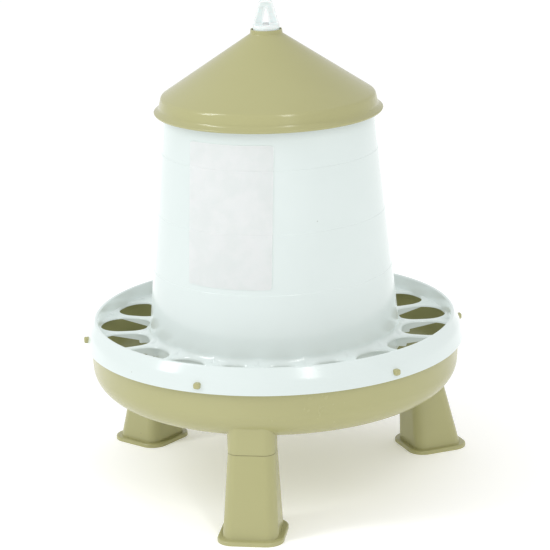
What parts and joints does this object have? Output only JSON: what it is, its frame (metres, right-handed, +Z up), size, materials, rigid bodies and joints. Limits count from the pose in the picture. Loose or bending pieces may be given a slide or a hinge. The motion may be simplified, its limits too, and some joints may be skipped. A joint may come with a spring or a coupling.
{
  "type": "poultry feeder",
  "caption": "Round poultry feeder on three legs: translucent conical hopper moulded with a feeding grille, olive feed pan, conical lid and hanging loop.",
  "frame": {"origin": "on the hopper's axis, on the ground, at the middle of the three soles", "axes": "+Z up along the hopper's axis, -Y towards the front leg, +X to the right seen from the front"},
  "size_m": [0.3, 0.3116, 0.3826],
  "materials": {
    "olive_plastic": "satin moulded plastic, olive green",
    "lid_plastic": "satin moulded plastic, olive green",
    "leg_plastic": "satin moulded plastic, olive green",
    "hopper_plastic": "translucent white moulded plastic",
    "white_plastic": "white moulded plastic",
    "label_film": "printed adhesive film"
  },
  "bodies": {
    "root": {"feed_pan": "olive_plastic", "hopper": "hopper_plastic", "lid": "lid_plastic", "hanger": "white_plastic", "leg_front": "leg_plastic", "leg_right": "leg_plastic", "leg_left": "leg_plastic", "label": "label_film"}
  },
  "joints": []
}
